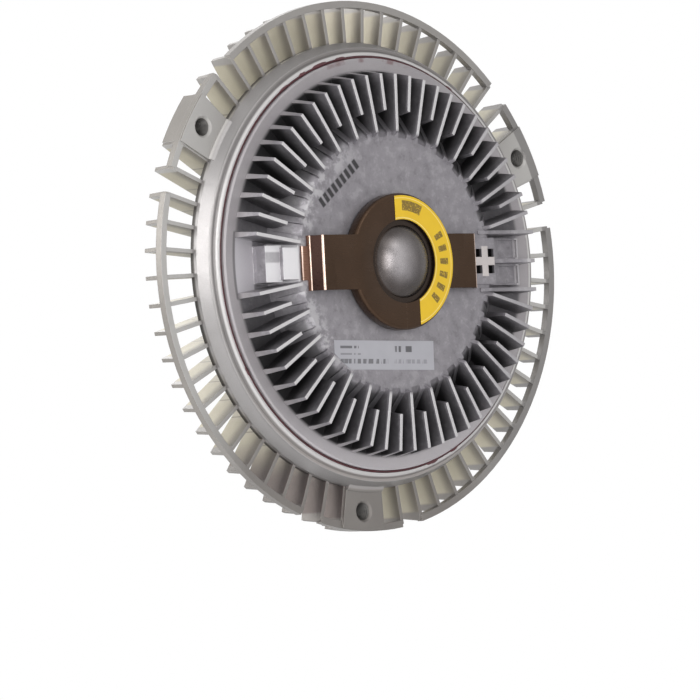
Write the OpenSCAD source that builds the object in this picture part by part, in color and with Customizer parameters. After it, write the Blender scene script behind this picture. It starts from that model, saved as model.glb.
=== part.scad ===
// Viscous fan clutch: an input shaft drives a grooved rotor in silicone oil inside a finned housing,
// and a bimetal strip on the cover opens the oil valve as the air behind the radiator warms up.
// The clutch is drawn as seen from the front, x to the right, y up and z towards the viewer,
// with z = 0 on the rear mounting face, and is then turned so that its axis lies along Y.

/* [Fan ring] */
// Outer diameter of the broken hoop
ring_d = 205; // [202:1:230]
// Radial width of the hoop
hoop_w = 2.7; // [1.5:0.1:4]
// Axial depth of the hoop
hoop_t = 3; // [2:0.5:6]
// Thickness of a blade
blade_t = 1.5; // [1:0.1:2.4]
// Axial depth of the blades and lugs behind the front of the hoop
blade_depth = 11; // [8:0.5:13]
// Blade places in each third of the ring
blades_per_third = 20; // [16:2:24]
// Distance of the fan bolts from the outer edge of the hoop
bolt_inset = 7.5; // [6.5:0.1:9]
// Tapping hole for a fan bolt
bolt_hole_d = 6.8; // [5:0.1:8]
// Width of the chamfer round a fan bolt's hole
bolt_chamfer = 0.8; // [0.4:0.1:1.4]
// How far a lug's machined face stands in front of the hoop
lug_proud = 0.8; // [0.2:0.1:2]

/* [Housing] */
// Diameter of the working chamber
chamber_d = 149; // [140:1:150]
// Depth of the working chamber, from its floor to the cover's seat
chamber_depth = 11; // [10:0.5:14]
// Thickness of the rear wall
wall_t = 4.5; // [3:0.5:6]
// Distance from the bearing to the chamber floor
floor_rise = 11; // [8:0.5:14]
// Width of the rim round the cover's foot
rim_wall = 2.4; // [2:0.1:4]
// How much wider the body is at the fan ring than at the rim
rim_flare = 2.2; // [1:0.1:4]
// Height of the lip that is rolled over the cover's foot
lip_h = 1.4; // [1:0.1:2]
// Drop from the rolled lip to the rim's shoulder
rim_fall = 1.7; // [1:0.1:2.2]
// How far the hoop's front lies behind the cover's face
ring_drop = 10; // [8:0.5:12]
// Outer diameter of the bearing boss
boss_d = 62; // [58:1:68]
// Inner radius of the long rear fins
rear_fin_in = 40; // [37:1:48]
// Inner radius of the short rear fins
rear_fin_short_in = 58; // [50:1:66]
// Height of the rear fins at their inner end
rear_fin_h = 6.5; // [3:0.5:9]

/* [Bearing] */
// Bore of the ball bearing
bearing_bore = 20; // [18:1:22]
// Outer diameter of the ball bearing
bearing_od = 47; // [46:1:50]
// Width of the ball bearing
bearing_w = 14; // [13:0.5:16]
// Diameter of a ball
ball_d = 7.9; // [7:0.1:8.2]
// Number of balls
ball_n = 8; // [6:1:9]
// Width of the cage beside the balls
cage_web = 0.9; // [0.6:0.1:1]
// Thickness of a bearing seal
bearing_seal_t = 0.8; // [0.5:0.1:1.2]
// Thickness of the retaining ring
clip_t = 1.6; // [1:0.1:2]
// How far the retaining ring sits in its groove
clip_seat = 1.3; // [0.8:0.1:1.8]

/* [Input shaft] */
// Diameter of the mounting flange
hub_d = 42; // [38:1:48]
// Thickness of the mounting flange
hub_t = 9; // [7:0.5:12]
// Distance across the two spanner flats of the flange
hub_flats = 36; // [32:1:37]
// Length of the neck between flange and bearing
neck_l = 7; // [6:0.5:10]
// Diameter of the neck
neck_d = 26; // [25:0.5:27]
// Diameter of the pilot bore in the flange
pilot_d = 20; // [16:1:22]
// Depth of the pilot bore
pilot_depth = 5; // [3:0.5:6]
// Tapping diameter of the centre thread
thread_d = 8.5; // [6.8:0.1:10.2]
// Length of the centre thread
thread_l = 24; // [16:1:28]
// Diameter of the rotor's seat
rotor_seat_d = 17; // [15:0.5:17.5]
// Diameter of the thread for the rotor nut
nut_thread_d = 14; // [12:0.5:14.5]

/* [Rotor] */
// Thickness of the rotor disc
rotor_t = 3.5; // [3:0.1:4]
// Number of ring-shaped lands
land_n = 5; // [3:1:5]
// Radius of the innermost land
land_in = 46; // [42:1:47]
// Thickness of a land
land_t = 1.6; // [1.2:0.1:1.8]
// Height of a land
land_h = 3.2; // [2:0.1:3.5]
// Distance between lands on the rotor
land_pitch = 5.2; // [4.8:0.1:5.4]
// Axial gap between lands and the floors that they face
run_gap = 0.6; // [0.4:0.1:0.8]
// Radial gap round the rotor
rotor_gap = 1; // [0.6:0.1:1.5]
// Distance across the flats of the rotor nut
nut_flats = 19; // [17:1:20]
// Height of the rotor nut
nut_h = 3.2; // [2.5:0.1:3.4]
// Depth of the nut's recess in the rotor
nut_recess = 2; // [1.6:0.1:2.4]

/* [Cover] */
// Diameter of the cover's face
cover_d = 159; // [157:0.5:164]
// Thickness of the cover's edge
cover_t = 4; // [3.5:0.5:6]
// Width of the foot under the rolled lip
cover_foot_w = 2; // [1.5:0.1:2.5]
// Thickness of the foot under the rolled lip
cover_foot_t = 1; // [0.8:0.1:1.4]
// Diameter of the plain middle
plateau_d = 100.6; // [98:0.2:104]
// Height of the plain middle above the cover's face
plateau_h = 8.2; // [7.5:0.1:9.5]
// Thickness of the plain middle over the oil store
plateau_t = 5.2; // [4:0.1:6]
// Diameter of the oil store
store_d = 92; // [86:1:94]
// Height of the fins at their outer end
fin_h = 10.3; // [9:0.1:12]
// Rise of the fins towards the middle
fin_rise = 0.7; // [0:0.1:2]
// Thickness of a fin at its top
fin_t = 1.3; // [1:0.1:1.8]
// Thickness of a fin at its root
fin_root_t = 2.2; // [1.9:0.1:2.6]
// Diameter over the feet of the fins
fin_foot_d = 149; // [144:1:153]
// Slope of the fins' outer ends, from foot to top
fin_lean = 1.9; // [0.5:0.1:3.5]
// Radius where the short fins start
fin_short_in = 57.5; // [55:0.5:62]
// Number of fin places
fin_n = 60; // [56:4:64]
// Turn of the cover against the fan lugs
cover_turn = 4.1; // [0:0.1:10]

/* [Bimetal strip] */
// Length of the strip's raised part to the left of the axis
strip_left = 40.3; // [38:0.1:41]
// Length of the strip's raised part to the right of the axis
strip_right = 37.1; // [35:0.1:39]
// Width of the strip
strip_w = 21; // [18:0.5:22]
// Thickness of the strip
strip_t = 0.8; // [0.6:0.1:1]
// Gap between the plain middle and the strip
strip_rise = 4.7; // [4.6:0.1:6]
// Slope of the folds at the strip's ends
fold_angle = 58; // [55:1:70]
// Inner radius of the folds
fold_r = 0.8; // [0.6:0.1:1]
// Length of the left end tab
left_tab_l = 3.8; // [2.5:0.1:4.5]
// Width of the left end tab
left_tab_w = 13; // [10:0.5:14]
// Diameter of the strip's round middle
disc_d = 52.6; // [48:0.2:55]
// Depth of the turned-down edge of the round middle
disc_wall = 4.6; // [3:0.1:5]
// Corner radius of the turned-down edge
disc_corner = 1.4; // [1.1:0.1:1.8]
// Diameter of the hole for the dome
disc_hole_d = 32; // [30.5:0.5:33]

/* [Control] */
// Diameter of the dome
dome_d = 28; // [26:0.5:29]
// Height of the dome
dome_h = 5.9; // [4:0.1:6.5]
// Thickness of the dome's sheet
dome_t = 1; // [0.8:0.1:1.2]
// Diameter of the dome's flange under the strip
dome_flange_d = 36; // [35:0.5:40]
// Diameter of the control pin
pin_d = 4; // [3:0.1:5]
// Thickness of the control pin's head
pin_head_t = 1.2; // [0.8:0.1:1.4]
// Outer diameter of the guide bush
bush_d = 10; // [9:0.5:12]
// Diameter of the guide bush's collar
bush_collar_d = 14; // [13:0.5:18]
// Thickness of the guide bush's collar
bush_collar_t = 1; // [0.6:0.1:1.2]
// Section diameter of the pin's sealing ring
seal_d = 1.6; // [1.2:0.1:1.8]

/* [Valve] */
// Thickness of the partition plate
plate_t = 1.2; // [1:0.1:1.5]
// Gap between the partition plate's edge and the chamber wall
plate_gap = 4; // [2:0.5:6]
// Distance of the valve hinge from the axis
hinge_x = 14; // [12:0.5:16]
// Diameter of the hinge pin
hinge_d = 1.8; // [1.5:0.1:2]
// Diameter of the lever's eye
eye_d = 3.8; // [3.4:0.1:4.2]
// Width of the lever
lever_w = 8; // [7:0.5:10]
// Thickness of the lever
lever_t = 0.8; // [0.6:0.1:1]
// Distance of the oil port from the axis
port_x = 26; // [24:0.5:28]
// Diameter of the oil port
port_d = 6; // [4:0.5:6.5]
// Thickness of a hinge ear
ear_t = 1.2; // [1:0.1:1.5]
// Number of rivets in the partition plate
rivet_n = 4; // [3:1:6]
// Diameter of a rivet
rivet_d = 3; // [2.5:0.1:3.5]
// Height of a rivet's head
rivet_head_h = 0.9; // [0.6:0.1:1]
// Length of the wiper block, as an angle
wiper_span = 10; // [6:1:14]
// Radial width of the wiper block
wiper_w = 8; // [5:0.5:9]

/* [Labels] */
// Thickness of the labels
label_t = 0.15; // [0.1:0.01:0.2]
// Width of the plain label on the cover
label_w = 51.5; // [40:0.5:54]
// Height of the plain label on the cover
label_h = 11.2; // [8:0.1:12]
// Where the plain label's middle lies, to the side of the axis
label_x = -7.9; // [-9:0.1:-5]
// Where the plain label's middle lies, below the axis
label_y = -35.6; // [-36:0.1:-33.5]
// Turn of the plain label against the strip's line
label_turn = -1.3; // [-4:0.1:4]
// Margin of the round label to the hole in the strip's middle
label_margin = 0.2; // [0.1:0.1:1.5]
// Where the round label's upper end is cut, to the side of the axis
label_start_x = -3.4; // [-6:0.1:0]
// Where the round label's lower end is cut, to the side of the axis
label_cut_x = 7.1; // [2:0.1:9]

/* [Hidden] */
$fn = 96;
ball_facets = 32;

// Clearances
fit_slack = 0.05;
free_gap = 0.3;
sealant_w = 1;
lap = 1;
through = 60;

// Radii
ring_r = ring_d / 2;
chamber_r = chamber_d / 2;
cover_r = cover_d / 2;
foot_r = cover_r + cover_foot_w;
undercut_r = foot_r + fit_slack;
rim_r = undercut_r + rim_wall;
body_r = rim_r + rim_flare;
lip_r = cover_r + sealant_w;
boss_r = boss_d / 2;
bearing_or = bearing_od / 2;
bearing_ir = bearing_bore / 2;
pitch_r = (bearing_or + bearing_ir) / 2;
ball_r = ball_d / 2;
ball_play = 0.16;
groove_r = ball_r + ball_play;
race_gap = 2.75;
bolt_r = ring_r - bolt_inset;
plateau_r = plateau_d / 2;
fin_foot_r = fin_foot_d / 2;
fin_top_r = fin_foot_r - fin_lean;
rotor_r = chamber_r - rotor_gap;
plate_r = chamber_r - plate_gap;
dome_r = dome_d / 2;
disc_r = disc_d / 2;
pitch_angle = 360 / (3 * blades_per_third);
fin_pitch = 360 / fin_n;
lug_angles = [30, 150, 270];

// Heights above the rear mounting face
z_bearing = hub_t + neck_l;
z_bearing_top = z_bearing + bearing_w;
z_floor = z_bearing_top + floor_rise;
z_back = z_floor - wall_t;
z_seat = z_floor + chamber_depth;
z_face = z_seat + cover_t;
z_ring = z_face - ring_drop;
z_blade_back = z_ring - blade_depth;
z_foot = z_seat + cover_foot_t;
z_lip = z_foot + fit_slack + lip_h;
z_plateau = z_face + plateau_h;
z_store = z_plateau - plateau_t;
z_fin_out = z_face + fin_h;
z_fin_in = z_fin_out + fin_rise;
z_rotor = z_floor + land_h + run_gap;
z_rotor_top = z_rotor + rotor_t;
z_nut = z_rotor_top - nut_recess;
z_shaft_end = z_nut + nut_h;
z_plate = z_seat - plate_t;
z_strip = z_plateau + strip_rise;
z_strip_top = z_strip + strip_t;
z_flange_top = z_strip - free_gap;
z_flange = z_flange_top - dome_t;
z_head = z_flange - pin_head_t;
z_lever = z_seat + free_gap;
z_lever_top = z_lever + lever_t;
z_hinge = z_lever + eye_d / 2;
z_pin = z_lever_top + free_gap;
z_ball = z_bearing + bearing_w / 2;

// Housing details
clip_back = 1.2;
clip_slack = 0.1;
z_clip = z_bearing - clip_t - clip_slack;
z_boss = z_clip - clip_back;
boss_flare = 2.5;
shoulder_w = 3.5;
wall_corner = 9.5;
corner_drop = 1.9;
z_corner = z_ring - corner_drop;
wall_base = 1.4;
rim_round = 0.8;
lip_round = 0.4;
lip_wall = 0.1;
lip_out_r = undercut_r + lip_wall;
crease_run = 0.8;
z_shoulder = z_lip - rim_fall;
blade_lap = 1.5;
blade_set = 0.2;
blade_tip_in = 0.4;
blade_tail_in = 1.4;
rear_fin_slope = 2;
z_lug = z_ring + lug_proud;
lug_fillet = 3;
lug_step = 0.4;
lug_face_inset = 1.4;
lug_face_in = body_r + lug_face_inset;
lug_inset = 0.2;
lug_out = ring_r - lug_inset;

// Rotor details
rotor_hub_wall = 3.5;
rotor_hub_r = bearing_ir + rotor_hub_wall;
rotor_boss_r = 17.5;
oil_hole_r = 3;
oil_hole_place = 32;
oil_hole_n = 6;

// Cover details
ramp_run = 8.5;
edge_chamfer = 0.6;
first_fin = 2;
first_notch = 3;
notch_lead = 2;
notch_run = 7.2;
notch_h = 6;
notch_floor = 2.1;
notch_top = 3.5;
notch_in = plateau_r - notch_lead;
notch_fall = atan(plateau_h * notch_run / ramp_run / (notch_lead + notch_run));
fin_root = 1;
fin_draft = (fin_root_t - fin_t) / (z_fin_in - z_face);
fin_base_r = fin_foot_r + fin_lean * fin_root / fin_h;
store_draft = 3;
seat_block_w = 18;
seat_block_h = 0.6;
seat_block_edge = 0.4;
pocket = 3.2;
pocket_depth = 3.2;
pocket_web = 3.2;
rib_y = 11.2;
rib_lead = 2;
rib_rise = 0.8;
tray_in = 59.6;
tray_out = 70.6;
tray_w = 18.4;
tray_h = 3.2;
tray_wall = 0.7;
tray_web = 1.9;
tray_depth = 1.2;
pad_gap = 1.6;
pad_step = 57.9;
pad_out = 65.2;
pad_w = 12.2;
pad_foot_w = 14;
pad_rise = 0.6;
pad_drop = 1.2;
return_w = 4;
return_depth = 2;

// Strip details
fold_cos = 1 - cos(fold_angle);
fold_drop = strip_rise;
fold_slope = (fold_drop - (2 * fold_r + strip_t) * fold_cos) / sin(fold_angle);
fold_run = (2 * fold_r + strip_t) * sin(fold_angle) + fold_slope * cos(fold_angle);
left_end = strip_left + fold_run;
right_end = strip_right + fold_run;
stub_l = 0.5;
bend_steps = 6;
bend_out_r = fold_r + strip_t;
pad_in = left_end + left_tab_l + pad_gap;
seat_block_in = right_end + stub_l + free_gap;
seat_block_out = seat_block_in + 2 * pocket + pocket_web + 2 * seat_block_edge;

// Labels
label_lap = 0.5;
label_edge = 2.2;

// Dome
dome_ball_r = (dome_r * dome_r + dome_h * dome_h) / (2 * dome_h);
z_dome_top = z_flange_top + dome_h;

// Valve
eye_r = eye_d / 2;
hinge_r = hinge_d / 2;
ear_in = lever_w / 2 + free_gap;
ear_top_r = eye_r;
port_cover = 2;
lever_pad_r = port_d / 2 + port_cover;
rivet_place = (store_d / 2 + plate_r + rivet_d) / 2;
rivet_head_ratio = 1.8;
rivet_grip = 2.5;
return_angle = 200;
return_place = plate_r - wiper_w / 2;
return_port_r = 2;
wiper_lead = 4;
seal_place = z_store + plateau_t / 2;

// Turns the front-view drawing so that the axis lies along Y and the front faces -Y
module facing() {
    rotate([90, 0, 0]) children();
}

// Turns what follows the cover and its strip
module on_cover() {
    facing() rotate([0, 0, cover_turn]) children();
}

// A ring of square section
module ring(r_in, r_out, z_low, z_high) {
    translate([0, 0, z_low]) difference() {
        cylinder(r = r_out, h = z_high - z_low);
        translate([0, 0, -lap]) cylinder(r = r_in, h = z_high - z_low + 2 * lap);
    }
}

// A block between two corners, centred on the strip's line
module block(x_low, x_high, width, z_low, z_high) {
    translate([x_low, -width / 2, z_low]) cube([x_high - x_low, width, z_high - z_low]);
}

// A radial plate at an angle, from its outline of radius and height
module plate_at(angle, thickness, outline) {
    rotate([0, 0, angle]) rotate([90, 0, 0])
        linear_extrude(height = thickness, center = true) polygon(outline);
}

// Section of the housing casting without its ring-shaped lands
module housing_section() {
    polygon([
        [bearing_or, z_boss], [boss_r, z_boss], [boss_r + boss_flare, z_back],
        [body_r - wall_corner, z_back], [body_r, z_corner], [body_r, z_ring + wall_base],
        [rim_r, z_shoulder - rim_round], [rim_r - rim_round, z_shoulder],
        [lip_out_r + crease_run, z_shoulder], [lip_out_r, z_lip - lip_round],
        [lip_out_r - lip_round, z_lip], [lip_r, z_lip], [lip_r, z_foot + fit_slack],
        [undercut_r, z_foot + fit_slack], [undercut_r, z_seat], [chamber_r, z_seat],
        [chamber_r, z_floor], [bearing_or - shoulder_w, z_floor],
        [bearing_or - shoulder_w, z_bearing_top], [bearing_or, z_bearing_top]
    ]);
    translate([rim_r - rim_round, z_shoulder - rim_round]) intersection() {
        circle(r = rim_round);
        square(rim_round);
    }
}

// Ring-shaped lands on the chamber floor, halfway between those of the rotor
module housing_lands() {
    for (i = [0 : land_n - 2])
        translate([land_in + (i + 0.5) * land_pitch, z_floor - lap]) square([land_t, land_h + lap]);
}

// Outline of a blade that runs on as a fin across the rear wall
function blade_outline(fin_in) = [
    [fin_in, z_back + lap], [fin_in, z_back - rear_fin_h],
    [body_r - wall_corner, z_back - rear_fin_h + rear_fin_slope],
    [ring_r - blade_tail_in, z_blade_back], [ring_r - blade_tip_in, z_ring - hoop_t / 2],
    [ring_r - hoop_w / 2, z_ring - blade_set], [body_r - blade_lap, z_ring - blade_set],
    [body_r - wall_corner - lap, z_back + lap]
];

// One stretch of the broken hoop
module hoop_arc(from_angle, to_angle) {
    rotate([0, 0, from_angle]) rotate_extrude(angle = to_angle - from_angle)
        translate([ring_r - hoop_w, z_ring - hoop_t]) square([hoop_w, hoop_t]);
}

// A fan lug, from the body to the hoop
module lug(angle) {
    rotate([0, 0, angle - pitch_angle]) rotate_extrude(angle = 2 * pitch_angle) polygon([
        [rim_r, z_lug + lug_fillet], [lug_face_in, z_lug + lug_step], [lug_face_in, z_lug],
        [lug_out, z_lug], [lug_out, z_blade_back + lap], [body_r - wall_corner, z_back + 2 * lap],
        [rim_r, z_corner + 2 * lap]
    ]);
}

// A tapped hole through a lug, with its chamfer
module lug_hole(angle) {
    rotate([0, 0, angle]) translate([bolt_r, 0, 0]) {
        cylinder(d = bolt_hole_d, h = z_ring + through);
        translate([0, 0, z_lug - bolt_chamfer])
            cylinder(d1 = bolt_hole_d, d2 = bolt_hole_d + 2 * (bolt_chamfer + lap), h = bolt_chamfer + lap);
    }
}

module rear_housing() {
    color([0.60, 0.58, 0.52]) facing() difference() {
        union() {
            rotate_extrude() difference() {
                union() {
                    housing_section();
                    housing_lands();
                }
                translate([bearing_or - lap, z_clip - clip_slack])
                    square([clip_seat + clip_slack + lap, clip_t + 2 * clip_slack]);
            }
            for (third = lug_angles) {
                lug(third);
                hoop_arc(third - 2 * pitch_angle, third + 2 * pitch_angle);
                hoop_arc(third + 3 * pitch_angle, third + (blades_per_third - 3) * pitch_angle);
                for (i = [0 : blades_per_third - 1])
                    plate_at(third + i * pitch_angle, blade_t,
                        blade_outline(i % 2 == 0 ? rear_fin_in : rear_fin_short_in));
            }
        }
        for (angle = lug_angles) lug_hole(angle);
    }
}

// Section of the cover casting without its fins
module cover_section() {
    polygon([
        [bush_d / 2, z_store], [bush_d / 2, z_plateau], [plateau_r, z_plateau],
        [plateau_r + ramp_run, z_face], [cover_r - edge_chamfer, z_face],
        [cover_r, z_face - edge_chamfer], [cover_r, z_foot], [foot_r, z_foot], [foot_r, z_seat],
        [store_d / 2, z_seat], [store_d / 2 - store_draft, z_store]
    ]);
}

// A notch in the plain middle's edge, whose floor runs out on the ramp
module edge_notch(angle) {
    rotate([0, 0, angle]) translate([notch_in - lap, 0, z_plateau + lap * tan(notch_fall)])
        rotate([0, 90 + notch_fall, 0])
            linear_extrude(height = (notch_lead + notch_run + 2 * lap) / cos(notch_fall))
                polygon([
                    [0, -notch_floor], [0, notch_floor], [-notch_h, notch_top], [-notch_h, -notch_top]
                ]);
}

// Thickness of a fin at a height
function fin_width(z) = fin_root_t - fin_draft * (z - z_face);

// A fin at an angle, thinner at its top than at its root
module fin(angle, outline) {
    z_low = z_face - 2 * fin_root;
    z_high = z_fin_in + fin_root;
    intersection() {
        plate_at(angle, 2 * fin_root_t, outline);
        rotate([0, 0, angle]) rotate([90, 0, 90]) linear_extrude(height = cover_r) polygon([
            [-fin_width(z_low) / 2, z_low], [fin_width(z_low) / 2, z_low],
            [fin_width(z_high) / 2, z_high], [-fin_width(z_high) / 2, z_high]
        ]);
    }
}

// Outline of a long fin, whose top runs down to the plain middle at its inner end
function long_fin() = [
    [plateau_r - 2 * fin_root, z_face - fin_root], [fin_base_r, z_face - fin_root],
    [fin_top_r, z_fin_out], [plateau_r, z_fin_in],
    [plateau_r - 2 * fin_root, z_plateau - fin_root]
];

// Outline of a short fin
function short_fin() = [
    [fin_short_in - fin_root, z_face - fin_root], [fin_base_r, z_face - fin_root],
    [fin_top_r, z_fin_out], [fin_short_in + fin_root, z_fin_in]
];

// Fins above and below the strip's line, with a channel left free at each of its ends
module cover_fins() {
    for (side = [-1, 1])
        for (i = [first_fin : fin_n / 2 - 2])
            fin(side * (i + 0.5) * fin_pitch, i % 2 == 0 ? long_fin() : short_fin());
}

// Notches between the long fins, clear of the stop at the strip's right end
module edge_notches() {
    for (side = [-1, 1])
        for (i = [first_notch : 2 : fin_n / 2 - 2])
            edge_notch(side * (i + 0.5) * fin_pitch);
}

// Cast stop behind the strip's left tab, stepped down towards the edge
module left_seat() {
    block(-pad_step, -pad_in, pad_w, z_face - lap, z_plateau + pad_rise);
    block(-pad_out, -pad_step + lap, pad_foot_w, z_face - lap, z_plateau - pad_drop);
}

// Straight rib beside the right seat
module right_rib() {
    rib_in = seat_block_in + rib_lead;
    fin(0, [
        [rib_in, z_plateau - lap], [plateau_r, z_face - fin_root], [fin_base_r, z_face - fin_root],
        [fin_top_r, z_fin_out], [rib_in, z_plateau + rib_rise]
    ]);
}

// Cast stop behind the strip's right end, then a shallow double tray with a fin along its middle
module right_seat() {
    block(seat_block_in, seat_block_out, seat_block_w, z_face - lap, z_plateau + seat_block_h);
    difference() {
        block(seat_block_out - lap, tray_out, tray_w, z_face - lap, z_face + tray_h);
        for (k = [-1, 1])
            translate([0, k * (tray_w + tray_web) / 4, 0])
                block(tray_in, tray_out - tray_wall, (tray_w - tray_web) / 2 - 2 * tray_wall,
                    z_face + tray_h - tray_depth, z_face + tray_h + lap);
    }
    fin(0, [
        [seat_block_out - lap, z_face - fin_root], [fin_base_r, z_face - fin_root],
        [fin_top_r, z_fin_out], [seat_block_out - lap, z_plateau]
    ]);
    for (side = [-1, 1])
        translate([0, side * rib_y, 0]) right_rib();
}

// Four square pockets that leave a cross in the stop
module right_pockets() {
    pocket_step = (pocket + pocket_web) / 2;
    for (i = [-1, 1])
        for (k = [-1, 1])
            translate([(seat_block_in + seat_block_out) / 2 + i * pocket_step, k * pocket_step, 0])
                block(-pocket / 2, pocket / 2, pocket,
                    z_plateau + seat_block_h - pocket_depth, z_plateau + seat_block_h + lap);
}

// Rivet places in the partition plate
module at_rivets() {
    for (i = [0 : rivet_n - 1])
        rotate([0, 0, (i + 0.5) * 360 / rivet_n]) translate([rivet_place, 0, 0]) children();
}

module front_cover() {
    color([0.66, 0.65, 0.67]) on_cover() difference() {
        union() {
            difference() {
                rotate_extrude() cover_section();
                edge_notches();
            }
            cover_fins();
            left_seat();
            right_seat();
        }
        right_pockets();
        at_rivets() translate([0, 0, z_seat - lap]) cylinder(d = rivet_d, h = rivet_grip + lap);
        rotate([0, 0, return_angle]) translate([0, -return_w / 2, z_seat - lap])
            cube([return_place, return_w, return_depth + lap]);
    }
}

module rim_sealant() {
    bead = sealant_w / 3;
    z_bead = z_foot + lip_h;
    color([0.43, 0.15, 0.17]) facing() rotate_extrude() polygon([
        [cover_r, z_foot], [lip_r, z_foot], [lip_r, z_bead - bead], [lip_r - bead, z_bead],
        [cover_r + bead, z_bead], [cover_r, z_bead - bead]
    ]);
}

// Points on an arc, from one angle to another
function arc(centre, radius, from_angle, to_angle) = [
    for (i = [0 : bend_steps])
        let (angle = from_angle + (to_angle - from_angle) * i / bend_steps)
            centre + radius * [cos(angle), sin(angle)]
];

// Side view of half the strip: level, a fold down, a slope and a fold back to level
function end_fold(upper_bend, lower_bend) = concat(
    [[0, -strip_t], [0, 0]],
    arc(upper_bend, bend_out_r, 90, 90 - fold_angle),
    arc(lower_bend, fold_r, 270 - fold_angle, 270),
    [[lower_bend[0] + stub_l, -fold_drop], [lower_bend[0] + stub_l, -fold_drop - strip_t]],
    arc(lower_bend, bend_out_r, 270, 270 - fold_angle),
    arc(upper_bend, fold_r, 90 - fold_angle, 90)
);

// One arm of the strip at its full width, as long as its raised part
module strip_arm(raised) {
    translate([0, 0, z_strip_top]) rotate([90, 0, 0]) linear_extrude(height = strip_w, center = true)
        polygon(end_fold([raised, -bend_out_r], [raised + fold_run, fold_r - fold_drop]));
}

// Round middle of the strip, with its edge turned down
module strip_disc() {
    rotate_extrude() {
        translate([0, z_strip]) square([disc_r - disc_corner, strip_t]);
        translate([disc_r - disc_corner, z_strip_top - disc_corner]) intersection() {
            difference() {
                circle(r = disc_corner);
                circle(r = disc_corner - strip_t);
            }
            square(disc_corner);
        }
        translate([disc_r - strip_t, z_strip_top - disc_wall])
            square([strip_t, disc_wall - disc_corner]);
    }
}

module bimetal_strip() {
    color([0.29, 0.21, 0.17]) on_cover() difference() {
        union() {
            difference() {
                strip_disc();
                block(-disc_d, disc_d, strip_w, z_plateau, z_strip);
            }
            strip_arm(strip_right);
            mirror([1, 0, 0]) strip_arm(strip_left);
            block(-left_end - left_tab_l, -left_end, left_tab_w, z_plateau, z_plateau + strip_t);
        }
        cylinder(d = disc_hole_d, h = z_strip_top + lap);
    }
}

module domed_cap() {
    color([0.62, 0.61, 0.62]) on_cover() rotate_extrude() {
        translate([dome_r - dome_t, z_flange]) square([dome_flange_d / 2 - dome_r + dome_t, dome_t]);
        intersection() {
            translate([0, z_dome_top - dome_ball_r]) difference() {
                circle(r = dome_ball_r);
                circle(r = dome_ball_r - dome_t);
            }
            translate([0, z_flange]) square([dome_r, dome_h + 2 * dome_t]);
        }
    }
}

module control_pin() {
    color([0.70, 0.70, 0.72]) on_cover() {
        translate([0, 0, z_pin]) cylinder(d = pin_d, h = z_head - z_pin + lap / 2);
        translate([0, 0, z_head]) cylinder(r = dome_r, h = pin_head_t);
    }
}

module round_label() {
    color([0.90, 0.74, 0.12]) on_cover() translate([0, 0, z_strip_top]) linear_extrude(height = label_t)
        intersection() {
            difference() {
                circle(r = disc_r - disc_corner + label_lap);
                circle(r = disc_hole_d / 2 + label_margin);
            }
            union() {
                translate([label_start_x, 0]) square(disc_d);
                translate([label_cut_x, -disc_d]) square([disc_d, disc_d + lap]);
            }
        }
}

module plain_label() {
    color([0.78, 0.78, 0.82]) on_cover() translate([0, 0, z_plateau]) linear_extrude(height = label_t)
        intersection() {
            translate([label_x, label_y]) rotate(label_turn) square([label_w, label_h], center = true);
            circle(r = plateau_r - label_edge);
        }
}

module guide_bush() {
    color([0.72, 0.58, 0.30]) on_cover() difference() {
        union() {
            translate([0, 0, z_store]) cylinder(d = bush_d, h = plateau_t);
            translate([0, 0, z_plateau]) cylinder(d = bush_collar_d, h = bush_collar_t);
        }
        translate([0, 0, z_store - lap])
            cylinder(r = pin_d / 2 + fit_slack, h = plateau_t + bush_collar_t + 2 * lap);
        translate([0, 0, seal_place - seal_d / 2 - fit_slack])
            cylinder(r = pin_d / 2 + seal_d + 2 * fit_slack, h = seal_d + 2 * fit_slack);
    }
}

module pin_seal() {
    color([0.08, 0.08, 0.08]) on_cover() rotate_extrude()
        translate([pin_d / 2 + fit_slack + seal_d / 2, seal_place]) circle(d = seal_d);
}

// The two ears that hold the hinge pin
module hinge_ears() {
    for (side = [-1, 1])
        translate([-hinge_x, side * (ear_in + ear_t / 2), 0]) {
            translate([-ear_top_r, -ear_t / 2, z_seat - plate_t / 2])
                cube([2 * ear_top_r, ear_t, z_hinge - z_seat + plate_t / 2]);
            translate([0, 0, z_hinge]) rotate([90, 0, 0])
                cylinder(r = ear_top_r, h = ear_t, center = true);
        }
}

module partition_plate() {
    color([0.70, 0.70, 0.68]) facing() difference() {
        union() {
            translate([0, 0, z_plate]) cylinder(r = plate_r, h = plate_t);
            hinge_ears();
        }
        translate([port_x, 0, z_plate - lap]) cylinder(d = port_d, h = plate_t + 2 * lap);
        translate([-hinge_x, 0, z_hinge]) rotate([90, 0, 0])
            cylinder(r = hinge_r, h = through, center = true);
        rotate([0, 0, cover_turn]) {
            at_rivets() translate([0, 0, z_plate - lap]) cylinder(d = rivet_d, h = plate_t + 2 * lap);
            rotate([0, 0, return_angle]) translate([return_place, 0, z_plate - lap])
                cylinder(r = return_port_r, h = plate_t + 2 * lap);
        }
    }
}

module partition_rivets() {
    color([0.55, 0.55, 0.56]) on_cover() at_rivets() {
        translate([0, 0, z_plate]) cylinder(d = rivet_d, h = plate_t + rivet_grip);
        translate([0, 0, z_plate - rivet_head_h])
            cylinder(d = rivet_head_ratio * rivet_d, h = rivet_head_h);
    }
}

module valve_hinge_pin() {
    color([0.60, 0.60, 0.62]) facing() translate([-hinge_x, 0, z_hinge]) rotate([90, 0, 0])
        cylinder(r = hinge_r, h = 2 * (ear_in + ear_t), center = true);
}

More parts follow.
